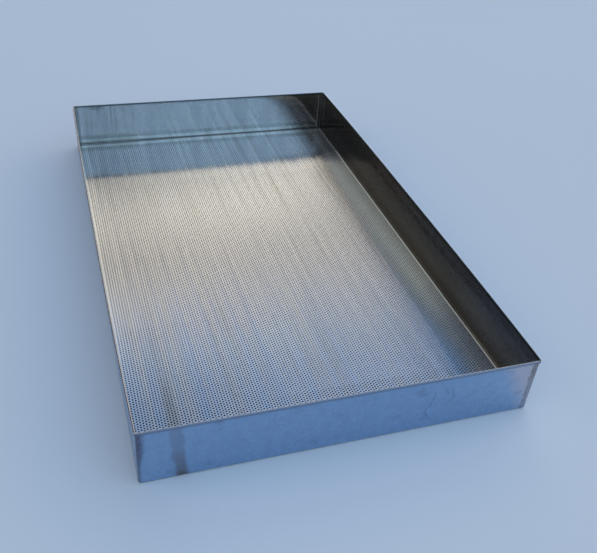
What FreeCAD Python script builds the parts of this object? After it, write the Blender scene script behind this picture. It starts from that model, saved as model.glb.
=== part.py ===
import FreeCAD, Part

import math
import os

from FreeCAD import Vector

# Oil drain pan: a folded and corner-welded sheet steel pan with a lift-out perforated drain plate
# that rests on flat bars. Millimetres. +Z is up, +Y runs from the front wall to the back wall, and
# the origin is the middle of the underside.

# Overall size, measured over the hemmed rim
WIDTH = 600.0
LENGTH = 1000.0
HEIGHT = 100.0

# Folded sheet
SHEET = 1.5
BEND_INSIDE_RADIUS = 2.0
HEM_DEPTH = 5.0
HEM_EDGE_RADIUS = 1.4

# Corner seams: the side walls wrap round each corner and are butt-welded to the end walls
SEAM_FROM_CORNER = 8.0
SEAM_WIDTH = 3.0
BEAD_WIDTH = 4.2
BEAD_PROUD_INSIDE = 0.3
BEAD_PROUD_OUTSIDE = 0.2

# Flat bars under the drain plate
BAR_COUNT = 5
BAR_PITCH = 200.0
BAR_LENGTH = 560.0
BAR_WIDTH = 20.0
BAR_THICKNESS = 3.0
BAR_CORNER_RADIUS = 2.0

# Tack welds at the bars' ends
TACK_LEG = 2.5
TACK_LENGTH = 14.0

# Drain plate
PLATE_THICKNESS = 1.5
PLATE_SIDE_GAP = 0.8
PLATE_REST_GAP = 0.3
PLATE_CORNER_RADIUS = 3.0

# Derived sizes
BEND_OUTSIDE_RADIUS = BEND_INSIDE_RADIUS + SHEET
BODY_HALF_X = WIDTH / 2 - SHEET
BODY_HALF_Y = LENGTH / 2 - SHEET
INSIDE_HALF_X = BODY_HALF_X - SHEET
INSIDE_HALF_Y = BODY_HALF_Y - SHEET
SEAM_X = BODY_HALF_X - SEAM_FROM_CORNER
PLATE_BOTTOM = SHEET + BAR_THICKNESS + PLATE_REST_GAP


def centred_box(half_x, half_y, z_low, z_high):
    """A box centred on the Z axis between two heights."""
    return Part.makeBox(2 * half_x, 2 * half_y, z_high - z_low, Vector(-half_x, -half_y, z_low))


def round_uprights(box, radius):
    """The box with its four upright edges rounded."""
    uprights = [e for e in box.Edges if abs(e.tangentAt(e.FirstParameter).z) > 0.99]
    return box.makeFillet(radius, uprights)


def edges_at_height(shape, z):
    """All edges that lie in the horizontal plane at height z."""
    return [e for e in shape.Edges if abs(e.BoundBox.ZMin - z) < 1e-4 and abs(e.BoundBox.ZMax - z) < 1e-4]


def folded_tray():
    """Bottom, four walls and the hem as one closed fold, before the corner seams are cut."""
    outside = round_uprights(centred_box(BODY_HALF_X, BODY_HALF_Y, 0, HEIGHT), BEND_OUTSIDE_RADIUS)
    outside = outside.makeFillet(BEND_OUTSIDE_RADIUS - 0.01, edges_at_height(outside, 0))
    hem = centred_box(WIDTH / 2, LENGTH / 2, HEIGHT - HEM_DEPTH, HEIGHT)
    hem = round_uprights(hem, BEND_OUTSIDE_RADIUS + SHEET)
    inside = centred_box(INSIDE_HALF_X, INSIDE_HALF_Y, SHEET, HEIGHT + 1)
    inside = round_uprights(inside, BEND_INSIDE_RADIUS)
    inside = inside.makeFillet(BEND_INSIDE_RADIUS - 0.01, edges_at_height(inside, SHEET))
    tray = outside.fuse(hem).cut(inside).removeSplitter()
    rim_edges = edges_at_height(tray, HEIGHT)
    return tray.makeFillet(HEM_EDGE_RADIUS, rim_edges)


def seam_slot(side, end):
    """The upright gap between a side wall's return and an end wall. side and end are -1 or 1."""
    depth = 4 * SHEET
    y_middle = end * (LENGTH / 2 - SHEET)
    corner = Vector(side * SEAM_X - SEAM_WIDTH / 2, y_middle - depth / 2, BEND_OUTSIDE_RADIUS)
    return Part.makeBox(SEAM_WIDTH, depth, HEIGHT, corner)


def bead_crown(side, y_face, outward, proud, z_low, z_high):
    """A shallow lens of weld metal standing on the wall face at y_face, towards outward."""
    left = Vector(side * SEAM_X - BEAD_WIDTH / 2, y_face, z_low)
    right = Vector(side * SEAM_X + BEAD_WIDTH / 2, y_face, z_low)
    crest = Vector(side * SEAM_X, y_face + outward * proud, z_low)
    outline = Part.Wire([Part.Arc(left, crest, right).toShape(), Part.makeLine(right, left)])
    return Part.Face(outline).extrude(Vector(0, 0, z_high - z_low))


def corner_weld(tray, side, end):
    """The weld that fills one seam, with a low crown inside and outside."""
    core = tray.common(seam_slot(side, end))
    z_low = BEND_OUTSIDE_RADIUS + 0.5
    inner = bead_crown(side, end * INSIDE_HALF_Y, -end, BEAD_PROUD_INSIDE, z_low, HEIGHT - 2.0)
    outer_top = HEIGHT - HEM_DEPTH
    outer = bead_crown(side, end * BODY_HALF_Y, end, BEAD_PROUD_OUTSIDE, z_low, outer_top)
    return core.fuse(inner).fuse(outer).removeSplitter()


def bearer_bar(y_middle):
    """One flat bar across the bottom, with rounded corners."""
    corner = Vector(-BAR_LENGTH / 2, y_middle - BAR_WIDTH / 2, SHEET)
    return round_uprights(Part.makeBox(BAR_LENGTH, BAR_WIDTH, BAR_THICKNESS, corner), BAR_CORNER_RADIUS)


def tack_weld(side, y_middle):
    """A short fillet weld in the angle between a bar's end and the bottom."""
    foot = Vector(side * BAR_LENGTH / 2, y_middle - TACK_LENGTH / 2, SHEET)
    toe = foot + Vector(side * TACK_LEG, 0, 0)
    top = foot + Vector(0, 0, TACK_LEG)
    bulge = TACK_LEG * math.sqrt(0.5) * 0.9
    crest = foot + Vector(side * bulge, 0, bulge)
    outline = Part.Wire([Part.makeLine(foot, toe), Part.Arc(toe, crest, top).toShape(), Part.makeLine(top, foot)])
    return Part.Face(outline).extrude(Vector(0, TACK_LENGTH, 0))


def drain_plate():
    """The drain plate's full sheet outline, without its fine perforation."""
    half_x = INSIDE_HALF_X - PLATE_SIDE_GAP
    half_y = INSIDE_HALF_Y - PLATE_SIDE_GAP
    sheet = centred_box(half_x, half_y, PLATE_BOTTOM, PLATE_BOTTOM + PLATE_THICKNESS)
    return round_uprights(sheet, PLATE_CORNER_RADIUS)


def build():
    """Every node's shape by name."""
    tray = folded_tray()
    corners = [(side, end) for end in (-1, 1) for side in (-1, 1)]
    body = tray.cut([seam_slot(side, end) for side, end in corners])
    nodes = {"pan_body": body}
    for side, end in corners:
        name = "corner_weld_" + ("front" if end < 0 else "back") + ("_left" if side < 0 else "_right")
        nodes[name] = corner_weld(tray, side, end)
    middles = [(i - (BAR_COUNT - 1) / 2) * BAR_PITCH for i in range(BAR_COUNT)]
    for number, y_middle in enumerate(middles, start=1):
        nodes[f"bearer_bar_{number}"] = bearer_bar(y_middle)
    tacks = [tack_weld(side, y_middle) for y_middle in middles for side in (-1, 1)]
    nodes["bearer_tack_welds"] = Part.makeCompound(tacks)
    nodes["drain_plate"] = drain_plate()
    return nodes


os.makedirs("parts", exist_ok=True)
for name, shape in build().items():
    assert shape.isValid(), name
    shape.exportStep(f"parts/{name}.step")
    volume = sum(solid.Volume for solid in shape.Solids) / 1000
    print(f"{name}: {len(shape.Solids)} solid(s), {volume:.1f} cm3, valid")
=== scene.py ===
import math

import bpy
from mathutils import Matrix, Vector, noise


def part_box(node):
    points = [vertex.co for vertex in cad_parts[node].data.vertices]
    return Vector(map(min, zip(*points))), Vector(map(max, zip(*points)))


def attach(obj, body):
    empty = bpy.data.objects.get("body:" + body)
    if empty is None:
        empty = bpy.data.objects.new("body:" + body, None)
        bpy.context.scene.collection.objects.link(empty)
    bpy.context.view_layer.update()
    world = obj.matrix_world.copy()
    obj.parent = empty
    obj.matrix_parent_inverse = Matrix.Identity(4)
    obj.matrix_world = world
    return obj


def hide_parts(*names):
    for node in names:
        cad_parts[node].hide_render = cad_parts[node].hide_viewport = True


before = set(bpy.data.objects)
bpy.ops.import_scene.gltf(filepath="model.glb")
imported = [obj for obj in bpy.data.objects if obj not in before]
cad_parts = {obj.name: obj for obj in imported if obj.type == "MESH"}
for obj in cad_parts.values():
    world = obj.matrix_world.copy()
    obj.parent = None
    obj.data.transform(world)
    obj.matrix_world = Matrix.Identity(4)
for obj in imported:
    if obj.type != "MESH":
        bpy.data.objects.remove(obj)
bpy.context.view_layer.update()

# Sizes and places, in metres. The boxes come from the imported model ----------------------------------

PAN_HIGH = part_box("pan_body")[1]
PLATE_LOW, PLATE_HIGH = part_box("drain_plate")
HEIGHT = PAN_HIGH.z

SHEET = 0.0015
BODY_X = PAN_HIGH.x - SHEET
BODY_Y = PAN_HIGH.y - SHEET
BEND_IN = 0.002
BEND_OUT = BEND_IN + SHEET
HEM_DEPTH = 0.005
HEM_GAP = 0.0001
HEM_OUTER_EDGE = 0.0004
HEM_INNER_EDGE = 0.0003
FOLD_DEPTH = 0.0012
FOLD_START = 0.0008
RIM_DROP = SHEET * 0.98
STATION_STEP = 0.02

HOLE_PITCH = 0.005
HOLE_RADIUS = 0.0015
HOLE_SIDES = 12
COLUMN_PITCH = HOLE_PITCH * math.sqrt(3) / 2
HOLE_COLUMNS = 135
HOLE_ROWS = 191
PLATE_PANELS = 8
PLATE_CORNER = 0.003
LIP_WIDTH = 0.0018
LIP_START = PLATE_HIGH.x - LIP_WIDTH
LIP_RISE = 0.0004

SEAM_X = sum(corner.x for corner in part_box("corner_weld_front_right")) / 2
BEAD_HALF_WIDTH = 0.0021
BEAD_INSIDE = 0.0003
BEAD_OUTSIDE = 0.0001
BEAD_ROOT = 0.0004
BEAD_EDGE_DROP = 0.00004
BEAD_ACROSS = (-1.0, -0.7, -0.35, 0.0, 0.35, 0.7, 1.0)
RIPPLE_PITCH = 0.0017

# Shares of the bead's width and of its height
BEAD_WANDER = 0.16
ROOT_WIDTH = 0.9
RIPPLE_HEIGHT = 0.3
RIPPLE_BOW = 0.45

WALL_BOW = 0.0044
WALL_UNEVEN = 0.00035
UNEVEN_FADE = 0.05
UNEVEN_ALONG, UNEVEN_UP = 5.0, 9.0

# Lines scratched into the front face, as points in x and z
SCRATCHES = [
    ((0.106, 0.033), (0.114, 0.033), (0.117, 0.035), (0.126, 0.022), (0.132, 0.016)),
    ((0.122, 0.024), (0.115, 0.021)),
    ((0.130, 0.071), (0.128, 0.056), (0.119, 0.035)),
    ((0.158, 0.075), (0.162, 0.058), (0.157, 0.048)),
    ((0.144, 0.078), (0.152, 0.066)),
    ((0.242, 0.089), (0.256, 0.087)),
]
SCRATCH_WIDTH = 0.0021

# Small dark spots on the inside of the back wall, in x and z
SPOTS = [(-0.125, 0.075), (-0.071, 0.054), (0.024, 0.061)]
SPOT_LENGTH = 0.0004
SPOT_WIDTH = 0.0022

CAMERA_PLACE = (-0.350, -1.166, 0.8395)
CAMERA_FORWARD = (0.285, 0.7543, -0.5914)
CAMERA_ROLL = 5.26
CAMERA_LENS = 45.7

# Colours, as linear red, green and blue -------------------------------------------------------------

PLATE_DARK, PLATE_PALE, PLATE_EVEN = (0.55, 0.56, 0.58), (0.69, 0.69, 0.68), (0.62, 0.625, 0.63)
PLATE_BAND, PLATE_CLOUD = (0.56, 0.575, 0.60), (0.61, 0.58, 0.55)
PLATE_FLOW, PLATE_LINE = (0.42, 0.48, 0.57), (0.38, 0.38, 0.36)
PLATE_MARGIN, PLATE_END_SHADE = (0.86, 0.82, 0.76), (0.15, 0.155, 0.155)
# Hole walls: painted shade, and a painted blue reflection towards the front
HOLE_SHADE_GREY, HOLE_BLUE_REFLECTION = (0.14, 0.145, 0.16), (0.11, 0.20, 0.38)
# The dull band's colour is a matt finish, painted pale for sheen
# The lips' colour is a painted highlight
LIP_HIGHLIGHT, DULL_SHEEN_COLOUR = (0.98, 0.88, 0.68), (0.76, 0.72, 0.64)
DUST_PALE, DUST_BROWN = (0.97, 0.84, 0.61), (0.83, 0.70, 0.50)
SMEAR_COLOUR, WORN_COLOUR = (0.36, 0.31, 0.24), (0.30, 0.22, 0.15)

OUTER_SKY_BLUE_DARK, OUTER_SKY_BLUE_PALE, OUTER_SPECK = (0.295, 0.43, 0.625), (0.32, 0.465, 0.665), (0.16, 0.22, 0.32)
RIGHT_PALE, RIGHT_GREY, RIGHT_BLUE = (0.53, 0.52, 0.60), (0.37, 0.365, 0.41), (0.24, 0.31, 0.44)
FLECK_COLOUR, SOOT_COLOUR = (0.16, 0.19, 0.25), (0.21, 0.18, 0.165)
STAIN_COLOUR, STAIN_FOOT = (0.22, 0.25, 0.32), (0.19, 0.18, 0.165)
BURNT_COLOUR, MARK_COLOUR, SCRATCH_COLOUR = (0.135, 0.135, 0.195), (0.16, 0.19, 0.27), (0.17, 0.21, 0.34)

INNER_PALE, INNER_DARK, INNER_DUST = (0.65, 0.655, 0.66), (0.57, 0.59, 0.60), (0.40, 0.42, 0.43)
FILM_COLOUR, RUN_COLOUR = (0.31, 0.35, 0.32), (0.34, 0.40, 0.39)
SMUDGE_COLOUR, SHADOW_COLOUR = (0.22, 0.24, 0.23), (0.22, 0.22, 0.22)
FOOT_SHADE_COLOUR, OIL_AND_SHADE_COLOUR = (0.15, 0.13, 0.12), (0.235, 0.175, 0.125)
OIL_FOOT, OIL_AND_SHADE_MIDDLE = (0.55, 0.42, 0.32), (0.050, 0.041, 0.036)
CORNER_SHADE_COLOUR, UNDER_RIM_SHADE = (0.12, 0.12, 0.125), (0.25, 0.27, 0.29)
RIM_PALE, RIM_WORN, RIM_FRONT_REFLECTION = (0.47, 0.44, 0.43), (0.24, 0.23, 0.23), (0.26, 0.28, 0.33)
RIM_BACK_RIGHT_SHADE, HEM_SHADE_LINE, WELD_COLOUR = (0.07, 0.085, 0.09), (0.10, 0.12, 0.16), (0.16, 0.17, 0.20)

TACK_DARK, TACK_PALE = (0.20, 0.19, 0.21), (0.38, 0.35, 0.33)
SCALE_DARK, SCALE_PALE, SCALE_WORN = (0.045, 0.047, 0.052), (0.085, 0.085, 0.09), (0.22, 0.21, 0.20)
FLOOR_DARK, FLOOR_PALE = (0.78, 0.77, 0.75), (0.81, 0.80, 0.78)

# The light round the pan. Azimuth is in degrees from +Y towards +X, elevation in degrees -----------

# Colour beyond the pan's back, by elevation
SKY_STOPS = [
    (0.0, (0.75, 0.76, 0.78)),
    (26.0, (1.35, 1.28, 1.15)),
    (28.9, (1.20, 1.17, 1.09)),
    (30.8, (2.10, 2.00, 1.78)),
    (32.6, (1.35, 1.28, 1.12)),
    (34.6, (0.76, 0.70, 0.655)),
    (36.8, (1.38, 1.32, 1.26)),
    (39.2, (1.27, 1.35, 1.52)),
    (41.9, (0.78, 0.99, 1.28)),
    (43.6, (0.52, 0.78, 1.19)),
    (45.5, (0.34, 0.54, 0.90)),
    (55.0, (0.375, 0.55, 0.90)),
    (90.0, (0.95, 1.02, 1.12)),
]
BEHIND_LOW, BEHIND_HIGH = (0.65, 0.99, 1.36), (0.55, 0.76, 1.1)
BACKDROP = (0.62, 0.68, 0.76)

# Patches laid over the sky in turn: the azimuths and the elevations from which and to which each fades in,
# its strength and its colour
SKY_PATCHES = [
    # Blue on the right, above the warm light
    ([(18.0, 34.0)], [(37.0, 42.0)], 1.0, (0.28, 0.53, 0.96)),
    # The brightest spot, low beyond the pan's back
    ([(6.0, 15.0), (24.0, 18.5)], [(28.4, 30.6), (34.0, 31.0)], 0.85, (2.85, 2.68, 2.38)),
    # A duller lower sky from the middle to the left
    ([(14.0, -1.0)], [(33.0, 29.5)], 0.85, (0.55, 0.56, 0.55)),
    # A brown shade right of the middle
    ([(12.0, 23.0)], [(30.4, 32.6), (38.3, 35.4)], 0.72, (0.42, 0.35, 0.30)),
    # The dark side on the left, which the right wall reflects
    ([(8.0, -14.0), (-72.0, -50.0)], [(68.0, 56.0)], 1.0, (0.05, 0.049, 0.048)),
    # The dark shape behind the camera
    ([(-140.0, -150.0), (-186.0, -176.0)], [(62.0, 48.0)], 1.0, (0.10, 0.11, 0.12)),
]


# Material helpers -----------------------------------------------------------------------------------


class Tree:
    """A node tree, emptied, and short ways to add nodes to it."""

    def __init__(self, tree):
        self.tree = tree
        self.tree.nodes.clear()

    def new(self, kind):
        return self.tree.nodes.new(kind)

    def link(self, source, target):
        self.tree.links.new(source, target)

    def feed(self, socket, value):
        """Links a socket or sets a constant."""
        if isinstance(value, bpy.types.NodeSocket):
            self.link(value, socket)
        else:
            socket.default_value = value

    def math(self, operation, *values, clamp=False):
        node = self.new("ShaderNodeMath")
        node.operation = operation
        node.use_clamp = clamp
        for socket, value in zip(node.inputs, values):
            self.feed(socket, value)
        return node.outputs[0]

    def times(self, first, *others):
        """The product of two or more values."""
        for value in others:
            first = self.math("MULTIPLY", first, value)
        return first

    def inverse(self, value):
        """1 minus the value."""
        return self.math("SUBTRACT", 1.0, value)

    def apart(self, value, centre):
        """How far the value is from centre, either way."""
        return self.math("ABSOLUTE", self.math("SUBTRACT", value, centre))

    def sway(self, field, reach):
        """A 0 to 1 field turned into a shift that stays within half of reach either way."""
        return self.times(self.math("SUBTRACT", field, 0.5), reach)

    def ramp(self, value, low, high, to_low=0.0, to_high=1.0, smooth=True):
        """Maps value from low..high to to_low..to_high, held at both ends."""
        node = self.new("ShaderNodeMapRange")
        node.interpolation_type = "SMOOTHSTEP" if smooth else "LINEAR"
        self.feed(node.inputs["Value"], value)
        self.feed(node.inputs["From Min"], low)
        self.feed(node.inputs["From Max"], high)
        node.inputs["To Min"].default_value = to_low
        node.inputs["To Max"].default_value = to_high
        return node.outputs["Result"]

    def mix(self, factor, first, second):
        """Mixes two colours."""
        node = self.new("ShaderNodeMix")
        node.data_type = "RGBA"
        self.feed(node.inputs[0], factor)
        self.feed(node.inputs[6], (*first, 1) if isinstance(first, tuple) else first)
        self.feed(node.inputs[7], (*second, 1) if isinstance(second, tuple) else second)
        return node.outputs[2]

    def tint(self, colour, mask, share, target):
        """Moves colour towards target where the mask is, by no more than share."""
        return self.mix(self.times(mask, share), colour, target)

    def split(self, vector):
        node = self.new("ShaderNodeSeparateXYZ")
        self.link(vector, node.inputs[0])
        return node.outputs


class Nodes(Tree):
    """One material: a Principled shader, and patterns that follow the object's own coordinates."""

    def __init__(self, name):
        self.material = bpy.data.materials.new(name)
        self.material.use_nodes = True
        super().__init__(self.material.node_tree)
        self.shader = self.new("ShaderNodeBsdfPrincipled")
        output = self.new("ShaderNodeOutputMaterial")
        self.link(self.shader.outputs[0], output.inputs[0])
        self.place = self.new("ShaderNodeTexCoord").outputs["Object"]

    def axes(self):
        return self.split(self.place)

    def noise(self, scale, detail=3.0, roughness=0.5, offset=(0, 0, 0)):
        """Fractal noise from 0 to 1. scale is in cycles per metre, one number or one per axis."""
        stretch = self.new("ShaderNodeMapping")
        self.link(self.place, stretch.inputs["Vector"])
        stretch.inputs["Scale"].default_value = scale if isinstance(scale, tuple) else (scale, scale, scale)
        stretch.inputs["Location"].default_value = offset
        node = self.new("ShaderNodeTexNoise")
        self.link(stretch.outputs[0], node.inputs["Vector"])
        node.inputs["Scale"].default_value = 1.0
        node.inputs["Detail"].default_value = detail
        node.inputs["Roughness"].default_value = roughness
        return node.outputs["Fac"]

    def bump(self, height, distance):
        node = self.new("ShaderNodeBump")
        self.feed(node.inputs["Height"], height)
        node.inputs["Distance"].default_value = distance
        node.inputs["Strength"].default_value = 1.0
        return node.outputs[0]

    def stroke(self, u, v, start, end, width):
        """1 on the line from start to end in the u, v plane, fading to 0 at width from it."""
        run_u, run_v = end[0] - start[0], end[1] - start[1]
        square = run_u * run_u + run_v * run_v
        off_u, off_v = self.math("SUBTRACT", u, start[0]), self.math("SUBTRACT", v, start[1])
        along = self.math("ADD", self.times(off_u, run_u), self.times(off_v, run_v))
        along = self.math("DIVIDE", along, square, clamp=True)
        gap_u = self.math("SUBTRACT", off_u, self.times(along, run_u))
        gap_v = self.math("SUBTRACT", off_v, self.times(along, run_v))
        gap = self.math("ADD", self.times(gap_u, gap_u), self.times(gap_v, gap_v))
        return self.ramp(self.math("SQRT", gap), width, width * 0.3)

    def finish(self, colour, roughness, normal=None, metallic=1.0):
        self.feed(self.shader.inputs["Base Color"], colour)
        self.feed(self.shader.inputs["Roughness"], roughness)
        self.feed(self.shader.inputs["Metallic"], metallic)
        if normal is not None:
            self.link(normal, self.shader.inputs["Normal"])
        return self.material


# Drain plate material -------------------------------------------------------------------------------


def plate_streaks(n, x, y, haze):
    """The rolled sheet's own colour: streaks along its length, evened out towards the front."""
    bands = n.noise((24.0, 0.8, 1.0), detail=2.0, offset=(3, 1, 0))
    clouds = n.noise((6.0, 4.0, 1.0), detail=3.0, offset=(9, 4, 0))
    colour = n.mix(n.ramp(haze, 0.34, 0.66), PLATE_DARK, PLATE_PALE)
    colour = n.mix(n.ramp(y, -0.22, -0.40, 0.0, 0.7), colour, PLATE_EVEN)
    colour = n.mix(n.ramp(bands, 0.45, 0.72, 0.0, 0.35), colour, PLATE_BAND)
    colour = n.mix(n.ramp(clouds, 0.55, 0.8, 0.0, 0.3), colour, PLATE_CLOUD)

    flow = n.noise((110.0, 1.3, 1.0), detail=3.0, roughness=0.6, offset=(5, 2, 0))
    flow = n.times(n.ramp(flow, 0.46, 0.68), n.ramp(y, -0.02, -0.20), n.ramp(y, -0.22, -0.40, 1.0, 0.45))
    colour = n.tint(colour, flow, 0.42, PLATE_FLOW)
    lines = n.noise((150.0, 0.4, 1.0), detail=2.0, offset=(1, 6, 0))
    lines = n.times(n.ramp(lines, 0.50, 0.66), n.ramp(y, 0.10, 0.22))
    return n.mix(n.times(lines, n.ramp(x, -0.1, 0.2, 0.2, 0.55)), colour, PLATE_LINE)


def plate_dirt(n, x, y, colour, dust):
    """Dust down the right, a brown smear and a worn patch at the front right, and painted shade on the two
    plain ends beside the walls.
    """
    colour = n.mix(dust, colour, n.mix(n.ramp(x, 0.262, 0.288), DUST_PALE, DUST_BROWN))
    wobble = n.sway(n.noise(60.0, detail=4.0), 0.012)
    off_smear = n.math("ABSOLUTE", n.math("ADD", n.math("ADD", x, wobble), 0.2345))
    smear = n.times(n.ramp(off_smear, 0.013, 0.003), n.ramp(y, -0.29, -0.37))
    colour = n.tint(colour, smear, 0.45, SMEAR_COLOUR)
    worn = n.times(n.ramp(x, 0.238, 0.262), n.ramp(y, -0.22, -0.30), n.ramp(y, -0.44, -0.38))
    colour = n.tint(colour, worn, 0.26, WORN_COLOUR)

    off_middle = n.math("ABSOLUTE", y)
    colour = n.tint(colour, n.ramp(off_middle, 0.4755, 0.4785), 0.18, PLATE_MARGIN)
    # Painted shade on the plate's plain ends, beside the walls
    end_start = n.ramp(n.apart(x, 0.07), 0.05, 0.30, PLATE_HIGH.y - 0.0050, PLATE_HIGH.y - 0.0100)
    end = n.ramp(n.math("SUBTRACT", off_middle, end_start), -0.0010, 0.0015)
    return n.tint(colour, end, 0.62, PLATE_END_SHADE)


def plate_material():
    """Cold-rolled perforated sheet, with painted shade inside its holes that turns to a painted blue
    reflection towards the front, a painted highlight on the lips of its long edges, and a matt band along
    the right edge painted pale for its sheen.
    """
    n = Nodes("perforated_sheet")
    x, y, z = n.axes()
    haze = n.noise((85.0, 1.1, 1.0), detail=3.0, roughness=0.55)
    # A worn, matt band along the right edge, its pale colour partly painted sheen
    dull_and_sheen = n.times(n.ramp(x, 0.224, 0.252), n.ramp(y, -0.40, -0.15), n.ramp(y, 0.335, 0.290))
    dust = n.times(n.ramp(x, 0.232, 0.268), n.ramp(y, -0.38, -0.10, 0.35, 1.0))
    dust = n.times(dust, n.ramp(y, 0.375, 0.270, 0.2, 0.96))
    colour = n.mix(dull_and_sheen, plate_streaks(n, x, y, haze), DULL_SHEEN_COLOUR)
    colour = plate_dirt(n, x, y, colour, dust)

    face_near, face_far = 0.00005, 0.0002
    above_bottom = n.ramp(z, PLATE_LOW.z + face_near, PLATE_LOW.z + face_far)
    below_top = n.ramp(z, PLATE_HIGH.z - face_near, PLATE_HIGH.z - face_far)
    inside_hole = n.times(above_bottom, below_top)
    # Painted shade inside the holes, turning to a painted blue reflection towards the front
    colour = n.mix(inside_hole, colour, n.mix(n.ramp(y, -0.12, -0.30), HOLE_SHADE_GREY, HOLE_BLUE_REFLECTION))
    # Painted highlight: the lips of the long edges are painted bright and matt, weaker at the back end
    lip_highlight = n.ramp(n.math("ABSOLUTE", x), LIP_START - face_far, LIP_START)
    lip_highlight = n.times(lip_highlight, n.ramp(y, 0.40, 0.31, 0.3, 1.0))
    colour = n.mix(lip_highlight, colour, LIP_HIGHLIGHT)

    rough = n.times(n.ramp(haze, 0.3, 0.7, 0.18, 0.28), n.ramp(y, 0.27, 0.33, 1.0, 0.75))
    rough = n.math("ADD", rough, n.times(dull_and_sheen, 0.20))
    rough = n.math("ADD", rough, n.times(lip_highlight, 0.2))
    matt = n.times(n.math("MAXIMUM", dust, n.times(lip_highlight, 0.9)), n.inverse(inside_hole))
    matt = n.math("MAXIMUM", matt, n.times(inside_hole, n.ramp(y, -0.12, -0.30, 0.0, 0.6)))

    across = n.new("ShaderNodeCombineXYZ")
    across.inputs[0].default_value = 1.0
    n.link(across.outputs[0], n.shader.inputs["Tangent"])
    n.shader.inputs["Anisotropic"].default_value = 1.0
    return n.finish(colour, rough, metallic=n.inverse(matt))


# Pan material ---------------------------------------------------------------------------------------


def front_right_end(n, x, z, front, mottle, speck, colour):
    """The front face's right end: paler, then ground grey beside the corner, flecked and sooty."""
    wander = n.sway(mottle, 0.02)
    along = n.math("ADD", x, wander)
    pale_start = n.ramp(z, 0.01, 0.09, 0.282, 0.240, smooth=False)
    pale = n.times(n.ramp(n.math("SUBTRACT", along, pale_start), -0.012, 0.032), front)
    colour = n.mix(pale, colour, RIGHT_PALE)
    end_grey = n.times(n.ramp(along, 0.285, 0.2885), front)
    colour = n.mix(end_grey, colour, RIGHT_GREY)
    off_line = n.apart(n.math("ADD", x, n.times(wander, 0.25)), 0.2900)
    flecks = n.times(n.ramp(off_line, 0.0028, 0.0010), n.ramp(speck, 0.42, 0.58), front)
    colour = n.mix(n.times(flecks, n.ramp(z, 0.060, 0.030, 0.15, 0.8)), colour, FLECK_COLOUR)
    soot = n.times(n.ramp(x, 0.284, 0.290), n.ramp(z, 0.050, 0.085), front)
    colour = n.mix(n.times(soot, n.ramp(speck, 0.40, 0.60, 0.15, 0.7)), colour, SOOT_COLOUR)
    return n.tint(colour, n.times(n.ramp(z, 0.022, 0.008), end_grey), 0.7, RIGHT_BLUE)


def front_stains(n, x, z, front, speck, colour):
    """The front face's left end: a run of dirt down to its foot, and burnt metal beside the corner."""
    wobble = n.sway(n.noise(55.0, detail=4.0), 0.016)
    run_centre = n.ramp(z, 0.0, 0.1, -0.2395, -0.2470, smooth=False)
    off_run = n.apart(n.math("ADD", x, wobble), run_centre)
    stain = n.times(n.ramp(off_run, 0.0125, 0.005), front, n.ramp(z, 0.02, 0.075, 0.95, 0.5))
    colour = n.mix(n.times(stain, n.ramp(speck, 0.25, 0.6, 0.7, 1.0)), colour, STAIN_COLOUR)
    foot = n.times(n.ramp(off_run, 0.008, 0.002), n.ramp(z, 0.017, 0.007, 0.0, 0.8), front)
    colour = n.mix(foot, colour, STAIN_FOOT)

    burnt_edge = n.ramp(z, 0.03, 0.075, -0.2925, -0.2850)
    burnt_fade = n.ramp(z, 0.03, 0.075, 0.004, 0.011)
    past_edge = n.math("SUBTRACT", n.math("ADD", x, n.times(wobble, 0.35)), burnt_edge)
    burnt = n.times(n.ramp(n.math("DIVIDE", past_edge, burnt_fade), 0.1, -0.9), front)
    burnt = n.times(burnt, n.ramp(z, 0.01, 0.07, 0.62, 1.0), n.ramp(speck, 0.35, 0.60, 0.72, 1.0))
    colour = n.mix(burnt, colour, BURNT_COLOUR)

    marks = n.ramp(n.noise(34.0, detail=6.0, roughness=0.6, offset=(8, 1, 6)), 0.58, 0.70, 0.0, 0.28)
    return n.mix(n.times(marks, front), colour, MARK_COLOUR)


def outer_colour(n, x, y, z):
    """The outer faces: sheet tinted blue, the tint partly painted reflection of blue surroundings. The front
    one also has a pale right end, stains and scratches.
    """
    front = n.ramp(y, -BODY_Y + 0.004, -BODY_Y + 0.002)
    mottle = n.noise(70.0, detail=4.0, offset=(2, 5, 1))
    speck = n.noise(420.0, detail=2.0, offset=(7, 2, 3))
    # The blue of the outer faces is partly painted reflection of blue surroundings
    colour = n.mix(n.ramp(mottle, 0.3, 0.7), OUTER_SKY_BLUE_DARK, OUTER_SKY_BLUE_PALE)
    colour = n.mix(n.ramp(speck, 0.62, 0.75, 0.0, 0.12), colour, OUTER_SPECK)
    colour = front_right_end(n, x, z, front, mottle, speck, colour)
    colour = front_stains(n, x, z, front, speck, colour)

    along = n.math("ADD", x, n.sway(n.noise(160.0, offset=(3, 3, 8)), 0.006))
    scratched = 0.0
    for path in SCRATCHES:
        for start, end in zip(path, path[1:]):
            scratched = n.math("MAXIMUM", scratched, n.stroke(along, z, start, end, SCRATCH_WIDTH))
    scratched = n.times(scratched, n.ramp(speck, 0.35, 0.55, 0.3, 1.0), front)
    return n.tint(colour, scratched, 0.48, SCRATCH_COLOUR)


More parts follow.
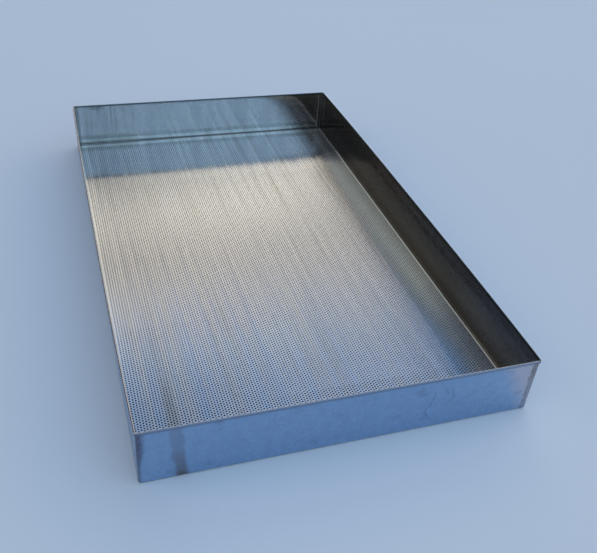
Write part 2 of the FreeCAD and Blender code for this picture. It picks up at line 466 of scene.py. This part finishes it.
def wall_film(n, x, z, drips, dust):
    """The inner faces' own colour, with an oil film at their foot and runs down the left."""
    colour = n.mix(n.ramp(drips, 0.35, 0.7), INNER_PALE, INNER_DARK)
    colour = n.mix(n.ramp(dust, 0.6, 0.8, 0.0, 0.3), colour, INNER_DUST)
    patches = n.noise((14.0, 14.0, 8.0), detail=3.0, offset=(2, 0, 4))
    film = n.math("MAXIMUM", n.ramp(z, 0.0075, 0.0095, 0.3, 1.0), n.ramp(x, -0.20, -0.13))
    film = n.times(n.ramp(z, 0.030, 0.020), film, n.ramp(patches, 0.42, 0.58, 0.45, 1.0))
    colour = n.tint(colour, film, 0.68, FILM_COLOUR)
    runs = n.noise((170.0, 1.0, 4.0), detail=2.0, offset=(6, 0, 1))
    runs = n.times(n.ramp(runs, 0.50, 0.66), n.ramp(x, -0.13, -0.20))
    return n.mix(n.times(runs, n.ramp(z, 0.01, 0.06, 0.15, 0.5)), colour, RUN_COLOUR)


def back_wall_marks(n, x, y, z, past_y, dust, colour):
    """Smudges and spots on the inside of the back wall, and the shaded top of its right end."""
    off_smudge = n.math("ABSOLUTE", n.math("ADD", x, 0.250))
    smudge = n.times(n.ramp(off_smudge, 0.022, 0.004), n.ramp(z, 0.084, 0.095))
    smudge = n.times(smudge, n.ramp(dust, 0.35, 0.6, 0.5, 1.0))
    for spot in SPOTS:
        spot_end = (spot[0] + SPOT_LENGTH, spot[1])
        smudge = n.math("MAXIMUM", smudge, n.stroke(x, z, spot, spot_end, SPOT_WIDTH))
    smudge = n.times(smudge, n.ramp(y, BODY_Y - 0.006, BODY_Y - 0.003))
    colour = n.tint(colour, smudge, 0.6, SMUDGE_COLOUR)
    shadow = n.times(n.ramp(x, 0.15, 0.21), n.ramp(z, 0.072, 0.088, 0.0, 0.5))
    return n.mix(n.times(shadow, n.ramp(past_y, -0.006, -0.003)), colour, SHADOW_COLOUR)


def right_wall_oil_and_shade(n, y, z, right, colour):
    """The inside of the right wall, darkened partly by old oil and partly by painted shade: thin near its
    top, warm at its foot, dark between.
    """
    upper = n.times(n.ramp(z, 0.062, 0.088), n.ramp(y, 0.10, -0.20, 0.0, 0.55))
    oil_and_shade = n.times(n.ramp(right, BODY_X - 0.006, BODY_X - 0.003), n.inverse(upper))
    share = n.ramp(y, -0.45, 0.15, 0.5, 0.84, smooth=False)
    # The right wall's darkening: old oil, and partly painted shade
    colour = n.mix(n.times(oil_and_shade, share), colour, OIL_AND_SHADE_COLOUR)
    low = n.times(oil_and_shade, n.ramp(z, 0.034, 0.012), n.ramp(y, 0.33, 0.24))
    colour = n.tint(colour, low, 0.35, OIL_FOOT)
    middle = n.times(oil_and_shade, n.ramp(z, 0.080, 0.050), n.ramp(y, -0.38, -0.22))
    return n.tint(colour, middle, 0.65, OIL_AND_SHADE_MIDDLE)


def rim_colour(n, y, z, outer):
    """The hem on the outside: painted shade as a dark line along its lower edge, a worn, pale top, and the
    front hem painted a darker grey-blue as painted reflection.
    """
    # Painted shade: a dark line along the hem's lower edge
    line = n.times(n.ramp(z, 0.0930, 0.0960), n.ramp(z, 0.0985, 0.0972))
    outer = n.tint(outer, line, 0.40, HEM_SHADE_LINE)
    hem_front = n.ramp(y, -BODY_Y - 0.0003, -BODY_Y - 0.0009)
    lower_front = n.times(hem_front, n.ramp(z, HEIGHT - 0.0032, HEIGHT - 0.0020))
    rim = n.math("MAXIMUM", n.ramp(z, HEIGHT - 0.0018, HEIGHT - 0.0008), lower_front)
    worn = n.mix(n.ramp(n.noise(330.0, detail=2.0), 0.55, 0.72, 0.0, 0.5), RIM_PALE, RIM_WORN)
    # The front hem is painted a darker grey-blue: a painted reflection
    return n.mix(rim, outer, n.mix(hem_front, worn, RIM_FRONT_REFLECTION))


def pan_material(name, bead=0.0):
    """Bright cold-rolled sheet. bead darkens and dulls the weld metal laid into it."""
    n = Nodes(name)
    x, y, z = n.axes()
    from_middle = n.math("DIVIDE", n.math("ABSOLUTE", y), BODY_Y, clamp=True)
    bow = n.times(n.inverse(n.math("POWER", from_middle, 3.0)), n.times(z, WALL_BOW / HEIGHT))
    right = n.math("SUBTRACT", x, bow)
    past_x = n.math("SUBTRACT", n.math("SUBTRACT", n.math("ABSOLUTE", x), bow), BODY_X)
    past_y = n.math("SUBTRACT", n.math("ABSOLUTE", y), BODY_Y)

    drips = n.noise((45.0, 45.0, 2.5), detail=4.0)
    dust = n.noise(160.0, detail=3.0, offset=(4, 8, 2))
    inner = wall_film(n, x, z, drips, dust)
    inner = back_wall_marks(n, x, y, z, past_y, dust, inner)
    # Painted shade along the foot of the inner faces, just above the plate
    wall_foot_shade = n.times(n.ramp(z, 0.0090, 0.0068), n.ramp(z, 0.0030, 0.0040))
    inner = n.tint(inner, wall_foot_shade, 0.6, FOOT_SHADE_COLOUR)
    inner = right_wall_oil_and_shade(n, y, z, right, inner)
    # Painted shade in the inner upright corners
    corner = n.times(n.ramp(past_x, -0.0075, -0.0025), n.ramp(past_y, -0.0075, -0.0025))
    inner = n.tint(inner, corner, 0.8, CORNER_SHADE_COLOUR)
    # Painted shade on the inner faces just under the rim
    under_rim_shade = n.times(n.ramp(z, 0.0935, 0.0965), n.ramp(z, 0.0990, 0.0975))
    inner = n.tint(inner, under_rim_shade, 0.35, UNDER_RIM_SHADE)

    outer = rim_colour(n, y, z, outer_colour(n, x, y, z))
    outside = n.ramp(n.math("MAXIMUM", past_x, past_y), -0.0011, -0.0008)
    colour = n.mix(outside, inner, outer)
    # Painted shade: the rim's top on the back and right sides is painted dark
    right_side = n.ramp(right, BODY_X - 0.004, BODY_X - 0.002)
    back_side = n.ramp(y, BODY_Y - 0.004, BODY_Y - 0.002)
    back_right_rim_shade = n.times(n.math("MAXIMUM", right_side, back_side), n.ramp(z, HEIGHT - 0.0036, HEIGHT - 0.0026))
    colour = n.tint(colour, back_right_rim_shade, 0.85, RIM_BACK_RIGHT_SHADE)
    if bead:
        colour = n.mix(n.math("SUBTRACT", bead, n.times(outside, bead)), colour, WELD_COLOUR)

    rough = n.math("ADD", n.ramp(drips, 0.35, 0.7, 0.08, 0.13), n.times(outside, 0.16))
    rough = n.math("ADD", rough, n.ramp(dust, 0.4, 0.8, 0.0, 0.05 + 0.2 * bead))
    ripple = n.noise(30.0, detail=2.0, offset=(5, 5, 5))
    return n.finish(colour, rough, n.bump(ripple, 0.00012))


# Materials under the plate --------------------------------------------------------------------------


def tack_material():
    """Small welds under the plate: rippled, heat-tinted metal."""
    n = Nodes("tack_metal")
    grain = n.noise(900.0, detail=3.0)
    tint = n.noise((40.0, 40.0, 60.0), detail=3.0)
    colour = n.mix(n.ramp(tint, 0.35, 0.7), TACK_DARK, TACK_PALE)
    return n.finish(colour, n.ramp(grain, 0.3, 0.7, 0.32, 0.46), n.bump(grain, 0.0001))


def bar_material():
    """Hot-rolled flat bar under its dark mill scale, a little worn."""
    n = Nodes("bar_steel")
    grain = n.noise((30.0, 300.0, 300.0), detail=3.0)
    worn = n.noise(45.0, detail=4.0, offset=(3, 3, 3))
    colour = n.mix(n.ramp(grain, 0.3, 0.7), SCALE_DARK, SCALE_PALE)
    colour = n.mix(n.ramp(worn, 0.62, 0.78, 0.0, 0.5), colour, SCALE_WORN)
    return n.finish(colour, n.ramp(grain, 0.3, 0.7, 0.42, 0.6), n.bump(grain, 0.00005))


# Mesh helpers ---------------------------------------------------------------------------------------


def mesh_piece(name, points, faces, material, smooth=False):
    """An object from points in metres and faces by point number."""
    mesh = bpy.data.meshes.new(name)
    mesh.from_pydata([tuple(p) for p in points], [], faces)
    mesh.validate()
    mesh.polygons.foreach_set("use_smooth", [smooth] * len(mesh.polygons))
    mesh.materials.append(material)
    mesh.update()
    piece = bpy.data.objects.new(name, mesh)
    bpy.context.scene.collection.objects.link(piece)
    return piece


def arc_points(centre, radius, start, end, steps):
    """Points on an arc in degrees, both ends included."""
    turns = [math.radians(start + (end - start) * k / steps) for k in range(steps + 1)]
    return [(centre[0] + radius * math.cos(t), centre[1] + radius * math.sin(t)) for t in turns]


# Drain plate ----------------------------------------------------------------------------------------


class SheetMesh:
    """Collects a flat sheet's outline cells, each given once, and gives them two faces and edges."""

    def __init__(self, top, bottom):
        self.heights = (top, bottom)
        self.index = {}
        self.points = []
        self.faces = []

    def point(self, xy, level):
        """The number of the point at xy on the top (0) or the bottom (1), shared within 1 micrometre."""
        key = (round(xy[0] * 1e6), round(xy[1] * 1e6), level)
        if key not in self.index:
            rise = LIP_RISE * max(0.0, abs(xy[0]) - LIP_START) / LIP_WIDTH
            self.index[key] = len(self.points)
            self.points.append((xy[0], xy[1], self.heights[level] + rise))
        return self.index[key]

    def cell(self, outline):
        """A flat cell, its outline running anticlockwise from above."""
        self.faces.append([self.point(xy, 0) for xy in outline])
        self.faces.append([self.point(xy, 1) for xy in reversed(outline)])

    def wall(self, first, second):
        """An upright face under the edge from first to second, with the metal on its left."""
        corners = ((first, 0), (first, 1), (second, 1), (second, 0))
        self.faces.append([self.point(xy, level) for xy, level in corners])


def ring(radius, count):
    """Points spaced evenly round a circle at the origin."""
    turns = [2 * math.pi * k / count for k in range(count)]
    return [(radius * math.cos(turn), radius * math.sin(turn)) for turn in turns]


CELL_RADIUS = HOLE_PITCH / math.sqrt(3)
HOLE_RING = ring(HOLE_RADIUS, HOLE_SIDES)
CELL_RING = ring(CELL_RADIUS, 6)


def hole_cell(sheet, x, y):
    """One hexagon of sheet around one hole."""
    step = HOLE_SIDES // 6
    for k in range(6):
        inner = [HOLE_RING[(k * step + j) % HOLE_SIDES] for j in range(step + 1)]
        outline = [CELL_RING[k], CELL_RING[(k + 1) % 6]] + inner[::-1]
        sheet.cell([(x + px, y + py) for px, py in outline])
    for k in range(HOLE_SIDES):
        first, second = HOLE_RING[k], HOLE_RING[(k + 1) % HOLE_SIDES]
        sheet.wall((x + second[0], y + second[1]), (x + first[0], y + first[1]))


def column_x(column):
    """The x of a column's holes, column 0 being the leftmost."""
    return (column - (HOLE_COLUMNS - 1) / 2) * COLUMN_PITCH


def rows_in(column):
    """Even columns hold one hole more than odd ones, which sit half a pitch along."""
    return HOLE_ROWS if column % 2 == 0 else HOLE_ROWS - 1


def hole_y(column, row):
    """The y of one hole, row 0 being the one nearest the front."""
    return (row - (rows_in(column) - 1) / 2) * HOLE_PITCH


def side_zigzag(side, rows):
    """Points down the outer side of the first or last column, from low y to high y."""
    column = 0 if side < 0 else HOLE_COLUMNS - 1
    x = column_x(column)
    near, far = CELL_RADIUS / 2, CELL_RADIUS
    points = [(x + side * near, hole_y(column, rows[0]) - HOLE_PITCH / 2)]
    for row in rows:
        y = hole_y(column, row)
        points.append((x + side * far, y))
        points.append((x + side * near, y + HOLE_PITCH / 2))
    return points


def end_zigzag(end):
    """Points along the outer end of all columns, from low x to high x."""
    half = CELL_RADIUS / 2
    points = []
    for column in range(HOLE_COLUMNS):
        row = 0 if end < 0 else rows_in(column) - 1
        y = hole_y(column, row) + end * HOLE_PITCH / 2
        points += [(column_x(column) - half, y), (column_x(column) + half, y)]
    return points


def border(sheet, inner, outer):
    """Plain sheet between two lines of points, the metal's outside on the right of outer's run."""
    for k in range(len(inner) - 1):
        sheet.cell([inner[k], outer[k], outer[k + 1], inner[k + 1]])
        sheet.wall(outer[k + 1], outer[k])


def corner_cell(sheet, inner, side, end):
    """Plain sheet at a corner, with the corner's arc."""
    edge_x, edge_y = side * PLATE_HIGH.x, end * PLATE_HIGH.y
    centre_x, centre_y = edge_x - side * PLATE_CORNER, edge_y - end * PLATE_CORNER
    quarter = arc_points((0.0, 0.0), PLATE_CORNER, 0, 90, 6)
    arc = [(centre_x + side * x, centre_y + end * y) for x, y in quarter]
    outline = [inner, (edge_x, inner[1])] + arc + [(inner[0], edge_y)]
    edges = list(zip(outline[1:-1], outline[2:]))
    if side * end < 0:
        outline.reverse()
        edges = [(b, a) for a, b in edges]
    sheet.cell(outline)
    for first, second in edges:
        sheet.wall(second, first)


def plate_panel(number, material):
    """One of the plate's lengths, with every hole in it."""
    sheet = SheetMesh(PLATE_HIGH.z, PLATE_LOW.z)
    bounds = [round(HOLE_ROWS * k / PLATE_PANELS) for k in range(PLATE_PANELS + 1)]
    low, high = bounds[number], bounds[number + 1]
    for column in range(HOLE_COLUMNS):
        for row in range(low, min(high, rows_in(column))):
            hole_cell(sheet, column_x(column), hole_y(column, row))
    for side in (-1, 1):
        inner = side_zigzag(side, range(low, high))
        if side < 0:
            inner.reverse()
        crease = [(side * LIP_START, y) for _, y in inner]
        outer = [(side * PLATE_HIGH.x, y) for _, y in inner]
        for k in range(len(inner) - 1):
            sheet.cell([inner[k], crease[k], crease[k + 1], inner[k + 1]])
        border(sheet, crease, outer)
    for end in (-1, 1):
        if (end < 0 and number > 0) or (end > 0 and number < PLATE_PANELS - 1):
            continue
        inner = end_zigzag(end)
        if end > 0:
            inner.reverse()
        outer = [(x, end * PLATE_HIGH.y) for x, _ in inner]
        border(sheet, inner, outer)
        for side in (-1, 1):
            ends = inner[0] if inner[0][0] * side > 0 else inner[-1]
            corner_cell(sheet, ends, side, end)
    return mesh_piece(f"drain_plate_panel_{number + 1}", sheet.points, sheet.faces, material)


# Pan body -------------------------------------------------------------------------------------------


def pan_section():
    """The folded wall's closed section: distance outside the body's outer face, and height."""
    wall_rows = 10
    rim_z = HEIGHT - RIM_DROP
    section = arc_points((-BEND_OUT, BEND_OUT), BEND_IN, -90, 0, 8)
    low, high = BEND_OUT, rim_z
    section += [(-SHEET, low + (high - low) * k / wall_rows) for k in range(1, wall_rows)]
    section += arc_points((0.0, rim_z), SHEET, 180, 0, 16)
    lip_z = HEIGHT - HEM_DEPTH
    outer_edge = (SHEET - HEM_OUTER_EDGE, lip_z + HEM_OUTER_EDGE)
    section += arc_points(outer_edge, HEM_OUTER_EDGE, 0, -90, 4)
    inner_edge = (HEM_GAP + HEM_INNER_EDGE, lip_z + HEM_INNER_EDGE)
    section += arc_points(inner_edge, HEM_INNER_EDGE, -90, -180, 3)
    high = rim_z - FOLD_DEPTH
    section += [(HEM_GAP, rim_z - FOLD_START), (0.0, high)]
    section += [(0.0, high + (low - high) * k / wall_rows) for k in range(1, wall_rows)]
    section += arc_points((-BEND_OUT, BEND_OUT), BEND_OUT, 0, -90, 8)
    return section


def outline_stations():
    """Base points and outward normals round the body's outer face, anticlockwise from above."""
    stations = []
    corner_steps = 6
    for quarter, (sx, sy) in enumerate([(1, -1), (1, 1), (-1, 1), (-1, -1)]):
        centre = Vector((sx * (BODY_X - BEND_OUT), sy * (BODY_Y - BEND_OUT), 0))
        for k in range(corner_steps + 1):
            turn = math.radians(-90 + 90 * quarter + 90 * k / corner_steps)
            normal = Vector((math.cos(turn), math.sin(turn), 0))
            stations.append((centre + normal * BEND_OUT, normal))
        length = 2 * (BODY_Y - BEND_OUT) if quarter % 2 == 0 else 2 * (BODY_X - BEND_OUT)
        steps = round(length / STATION_STEP)
        along = Vector((0, 1, 0)) if quarter % 2 == 0 else Vector((-1, 0, 0))
        if quarter >= 2:
            along = -along
        start, normal = stations[-1]
        for k in range(1, steps):
            stations.append((start + along * length * k / steps, normal))
    return stations


def wall_wave(point, normal, height):
    """How far a wall stands off its flat plane: the long walls spring outwards, all are a little uneven."""
    bow = WALL_BOW * abs(normal.x) * (height / HEIGHT) * (1 - min(abs(point.y) / BODY_Y, 1) ** 3)
    fade = math.sin(math.pi * min(max(height / HEIGHT, 0), 1))
    ends = (BODY_Y - abs(point.y)) / UNEVEN_FADE + (BODY_X - abs(point.x)) / UNEVEN_FADE
    shape = noise.noise(Vector((point.x * UNEVEN_ALONG, point.y * UNEVEN_ALONG, height * UNEVEN_UP)))
    return bow + WALL_UNEVEN * fade * min(max(ends, 0), 1) * shape


def pan_shell(material):
    """The folded blank: bottom, walls and hem."""
    section = pan_section()
    stations = outline_stations()
    points = []
    for base, normal in stations:
        for outward, height in section:
            shift = wall_wave(base, normal, height)
            points.append(base + normal * (outward + shift) + Vector((0, 0, height)))
    count, size = len(stations), len(section)
    faces = []
    for i in range(count):
        here, there = i * size, ((i + 1) % count) * size
        for j in range(size - 1):
            faces.append([here + j, here + j + 1, there + j + 1, there + j])
    faces.append([i * size for i in range(count)])
    faces.append([i * size + size - 1 for i in range(count)][::-1])
    return mesh_piece("pan_shell", points, faces, material, smooth=True)


def weld_path():
    """The seam's run in the wall's section: up the inner face, over the hem and down the outer face."""
    rim_z = HEIGHT - SHEET
    inner_rows, outer_rows, hem_rows = 120, 114, 5
    path = [(-SHEET, BEND_OUT + (rim_z - BEND_OUT) * k / inner_rows) for k in range(inner_rows)]
    path += arc_points((0.0, rim_z), SHEET, 180, 0, 10)
    path += [(SHEET, HEIGHT - HEM_DEPTH * k / hem_rows) for k in range(2, hem_rows + 1)]
    low_hem = HEIGHT - HEM_DEPTH - HEM_OUTER_EDGE
    path += [(0.0, low_hem + (BEND_OUT - low_hem) * k / outer_rows) for k in range(outer_rows + 1)]
    return path


def weld_bead(name, side, end, material):
    """One corner weld: rippled inside, ground nearly flush outside, with a wandering edge."""
    path = weld_path()
    points = []
    for row, (outward, height) in enumerate(path):
        before, after = path[max(row - 1, 0)], path[min(row + 1, len(path) - 1)]
        run = Vector((after[0] - before[0], after[1] - before[1])).normalized()
        off = Vector((-run.y, run.x))
        inside = outward < -SHEET / 2
        crown = BEAD_INSIDE if inside else BEAD_OUTSIDE
        spot = Vector((side * 7.0 + row * 0.11, end * 3.0, 0.0))
        width = BEAD_HALF_WIDTH * (1.0 + BEAD_WANDER * noise.noise(spot))
        profile = []
        for t in BEAD_ACROSS:
            turns = height / RIPPLE_PITCH + RIPPLE_BOW * t * t
            wave = math.sin(2 * math.pi * turns) if inside else 0.0
            rise = crown * (1 - t * t) * (1 + RIPPLE_HEIGHT * wave) - BEAD_EDGE_DROP * abs(t)
            profile.append((t * width, rise))
        profile += [(ROOT_WIDTH * width, -BEAD_ROOT), (-ROOT_WIDTH * width, -BEAD_ROOT)]
        for along, rise in profile:
            u = outward + off.x * rise
            points.append((side * SEAM_X + along, end * (BODY_Y + u), height + off.y * rise))
    size = len(BEAD_ACROSS) + 2
    faces = []
    for row in range(len(path) - 1):
        for k in range(size):
            first, second = row * size + k, row * size + (k + 1) % size
            faces.append([first, second, second + size, first + size])
    faces.append(list(range(size))[::-1])
    faces.append([(len(path) - 1) * size + k for k in range(size)])
    if end < 0:
        faces = [face[::-1] for face in faces]
    return mesh_piece(name, points, faces, material, smooth=True)


# Build the pieces -----------------------------------------------------------------------------------

sheet_finish = plate_material()
pan_finish = pan_material("pan_sheet")
weld_finish = pan_material("weld_metal", bead=0.35)
tack_finish = tack_material()
bar_finish = bar_material()

for panel in range(PLATE_PANELS):
    piece = plate_panel(panel, sheet_finish)
    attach(piece, "plate")
    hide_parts("drain_plate")

shell = pan_shell(pan_finish)
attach(shell, "pan")
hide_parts("pan_body")

for end_name, end in (("front", -1), ("back", 1)):
    for side_name, side in (("left", -1), ("right", 1)):
        node_name = f"corner_weld_{end_name}_{side_name}"
        bead = weld_bead(f"{node_name}_bead", side, end, weld_finish)
        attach(bead, "pan")
        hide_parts(node_name)

for name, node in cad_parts.items():
    finish = None
    if name.startswith("bearer_bar"):
        finish = bar_finish
    elif name == "bearer_tack_welds":
        finish = tack_finish
    if finish:
        node.data.materials.clear()
        node.data.materials.append(finish)


# Studio: floor, surroundings and camera -------------------------------------------------------------


def studio_floor():
    n = Nodes("studio_floor")
    colour = n.mix(n.noise(0.8, detail=1.0), FLOOR_DARK, FLOOR_PALE)
    material = n.finish(colour, 0.85, metallic=0.0)
    half, height = 8.0, -0.0002
    corners = [(x * half, y * half, height) for x, y in ((-1, -1), (1, -1), (1, 1), (-1, 1))]
    floor = mesh_piece("studio_floor", corners, [[0, 1, 2, 3]], material)


def sky_ahead(n, elevation):
    """The colours of SKY_STOPS, blended in straight lines between one elevation and the next."""
    ramp = n.new("ShaderNodeValToRGB")
    n.feed(ramp.inputs[0], n.math("DIVIDE", elevation, 90.0))
    ramp.color_ramp.interpolation = "LINEAR"
    while len(ramp.color_ramp.elements) < len(SKY_STOPS):
        ramp.color_ramp.elements.new(0.5)
    for element, (degrees, colour) in zip(ramp.color_ramp.elements, SKY_STOPS):
        element.position = degrees / 90.0
        element.color = (*colour, 1)
    return ramp.outputs[0]


def surroundings():
    """A soft room: warm light low beyond the pan's back, blue light above it, and a dark left side."""
    world = bpy.data.worlds.new("studio")
    bpy.context.scene.world = world
    world.use_nodes = True
    n = Tree(world.node_tree)
    dx, dy, dz = n.split(n.new("ShaderNodeTexCoord").outputs["Generated"])
    to_degrees = 180 / math.pi
    elevation = n.times(n.math("ARCSINE", dz), to_degrees)
    azimuth = n.times(n.math("ARCTAN2", dx, dy), to_degrees)

    behind = n.mix(n.ramp(elevation, 20.0, 60.0), BEHIND_LOW, BEHIND_HIGH)
    behind_share = n.ramp(n.math("ABSOLUTE", azimuth), 75.0, 125.0)
    sky = n.mix(behind_share, sky_ahead(n, elevation), behind)
    for azimuth_fades, elevation_fades, strength, colour in SKY_PATCHES:
        fades = [n.ramp(azimuth, low, high) for low, high in azimuth_fades]
        fades += [n.ramp(elevation, low, high) for low, high in elevation_fades]
        sky = n.mix(n.times(*fades, strength), sky, colour)

    seen = n.mix(n.new("ShaderNodeLightPath").outputs["Is Camera Ray"], sky, BACKDROP)
    background = n.new("ShaderNodeBackground")
    n.feed(background.inputs["Color"], seen)
    n.feed(n.new("ShaderNodeOutputWorld").inputs["Surface"], background.outputs[0])


def camera():
    """The viewpoint, from the front left above the pan, tipped slightly about its own line of sight."""
    data = bpy.data.cameras.new("camera")
    data.sensor_width = 36.0
    data.lens = CAMERA_LENS
    data.clip_start = 0.05
    view = bpy.data.objects.new("camera", data)
    bpy.context.scene.collection.objects.link(view)
    forward = Vector(CAMERA_FORWARD).normalized()
    level_right = forward.cross(Vector((0, 0, 1))).normalized()
    level_up = level_right.cross(forward)
    roll = math.radians(CAMERA_ROLL)
    right = level_right * math.cos(roll) + level_up * math.sin(roll)
    up = right.cross(forward)
    turn = Matrix((right, up, -forward)).transposed().to_4x4()
    view.matrix_world = Matrix.Translation(CAMERA_PLACE) @ turn
    bpy.context.scene.camera = view


studio_floor()
surroundings()
camera()
bpy.context.scene.view_settings.view_transform = "Standard"
